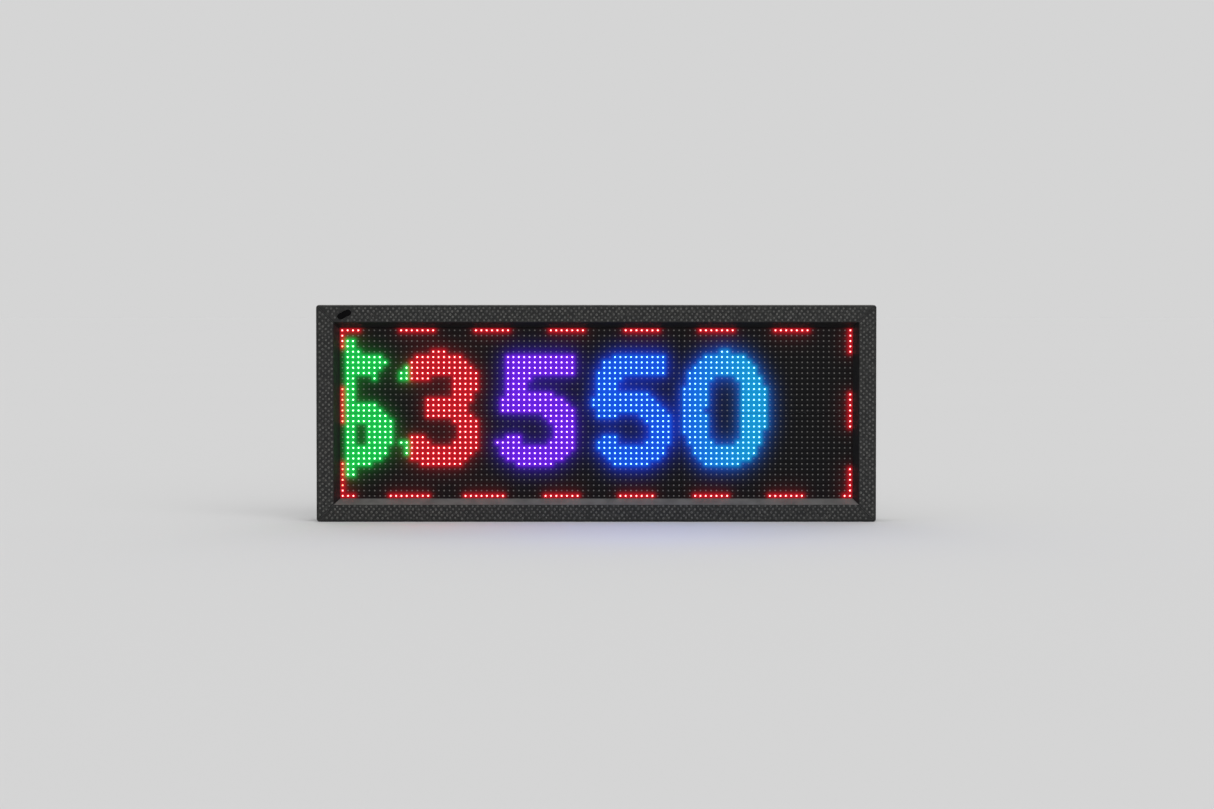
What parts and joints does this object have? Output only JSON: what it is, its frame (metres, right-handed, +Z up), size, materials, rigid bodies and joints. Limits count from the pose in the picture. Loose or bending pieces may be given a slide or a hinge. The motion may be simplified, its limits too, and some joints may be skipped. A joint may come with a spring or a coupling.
{
  "type": "solar speed sign",
  "caption": "Road message sign: a colour dot-matrix face in a dark mitred frame, with battery, charger and controller behind a hinged rear door.",
  "frame": {"origin": "middle of the sign's width and depth, on the plane it stands on", "axes": "+X to the right of somebody reading the sign, -Y towards them, +Z up"},
  "size_m": [1.045, 0.105, 0.405],
  "materials": {
    "frame_paint": "dark grey coating with a fine dimpled texture",
    "cast_alloy": "as cast",
    "mask_plastic": "matte black",
    "module_shell": "fine-grained black",
    "steel_paint": "powder-coated dark grey",
    "zinc_steel": "zinc plated",
    "stainless": "satin",
    "gasket_rubber": "soft black",
    "cell_wrap": "shrink-wrap film",
    "charger_case": "satin blue-grey",
    "heat_sink": "anodised",
    "circuit_green": "solder resist",
    "ribbon_grey": "flat cable jacket",
    "cable_jacket": "cable jacket",
    "black_plastic": "moulded, satin",
    "tinted_window": "polished dark tint"
  },
  "bodies": {
    "cabinet": {"frame_rail_bottom": "frame_paint", "frame_rail_top": "frame_paint", "frame_rail_left": "frame_paint", "frame_rail_right": "frame_paint", "corner_key_bottom_left": "cast_alloy", "corner_key_bottom_right": "cast_alloy", "corner_key_top_right": "cast_alloy", "corner_key_top_left": "cast_alloy", "light_sensor_window": "tinted_window", "led_mask_upper_left": "mask_plastic", "led_board_upper_left": "module_shell", "led_mask_upper_middle": "mask_plastic", "led_board_upper_middle": "module_shell", "led_mask_upper_right": "mask_plastic", "led_board_upper_right": "module_shell", "led_mask_lower_left": "mask_plastic", "led_board_lower_left": "module_shell", "led_mask_lower_middle": "mask_plastic", "led_board_lower_middle": "module_shell", "led_mask_lower_right": "mask_plastic", "led_board_lower_right": "module_shell", "module_keel": "zinc_steel", "ribbon_upper_left": "ribbon_grey", "ribbon_upper_right": "ribbon_grey", "ribbon_lower_left": "ribbon_grey", "ribbon_lower_right": "ribbon_grey", "ribbon_row_link": "ribbon_grey", "ribbon_feed": "ribbon_grey", "wiring_loom": "cable_jacket", "equipment_tray": "zinc_steel", "battery_pack": "cell_wrap", "battery_strap": "zinc_steel", "charge_controller": "charger_case", "dc_converter": "heat_sink", "controller_card": "circuit_green", "fuse_block": "black_plastic", "rear_panel": "steel_paint", "hinge_leaf_cabinet_lower": "stainless", "hinge_pin_lower": "stainless", "hinge_leaf_cabinet_upper": "stainless", "hinge_pin_upper": "stainless", "fan_frame": "black_plastic", "fan_guard": "stainless", "intake_louvre": "steel_paint", "switch_housing": "black_plastic", "service_port": "black_plastic", "solar_inlet": "stainless", "mounting_rail_left": "zinc_steel", "mounting_rail_right": "zinc_steel"},
    "door": {"rear_door": "steel_paint", "door_gasket": "gasket_rubber", "hinge_leaf_door_lower": "stainless", "hinge_leaf_door_upper": "stainless"},
    "upper_lock": {"lock_barrel_upper": "stainless", "lock_cam_upper": "zinc_steel"},
    "lower_lock": {"lock_barrel_lower": "stainless", "lock_cam_lower": "zinc_steel"},
    "rotor": {"fan_rotor": "black_plastic"},
    "rocker": {"switch_rocker": "black_plastic"},
    "cap": {"port_cap": "gasket_rubber"}
  },
  "joints": [
    {"name": "door_hinge", "type": "hinge", "parent": "cabinet", "child": "door", "pos_m": [-0.365, 0.0463, 0.205], "axis": [0, 0, 1], "range_deg": [0, 110]},
    {"name": "upper_lock_turn", "type": "hinge", "parent": "door", "child": "upper_lock", "pos_m": [0.195, 0.045, 0.3], "axis": [0, -1, 0], "range_deg": [0, 90]},
    {"name": "lower_lock_turn", "type": "hinge", "parent": "door", "child": "lower_lock", "pos_m": [0.195, 0.045, 0.11], "axis": [0, -1, 0], "range_deg": [0, 90]},
    {"name": "fan_spin", "type": "hinge", "parent": "cabinet", "child": "rotor", "pos_m": [0.33, 0.025, 0.275], "axis": [0, 1, 0], "continuous": true},
    {"name": "switch_rock", "type": "hinge", "parent": "cabinet", "child": "rocker", "pos_m": [0.29, 0.0356, 0.095], "axis": [1, 0, 0], "range_deg": [-16, 0]},
    {"name": "cap_hinge", "type": "hinge", "parent": "cabinet", "child": "cap", "pos_m": [0.342, 0.0424, 0.1104], "axis": [1, 0, 0], "range_deg": [0, 150]}
  ]
}
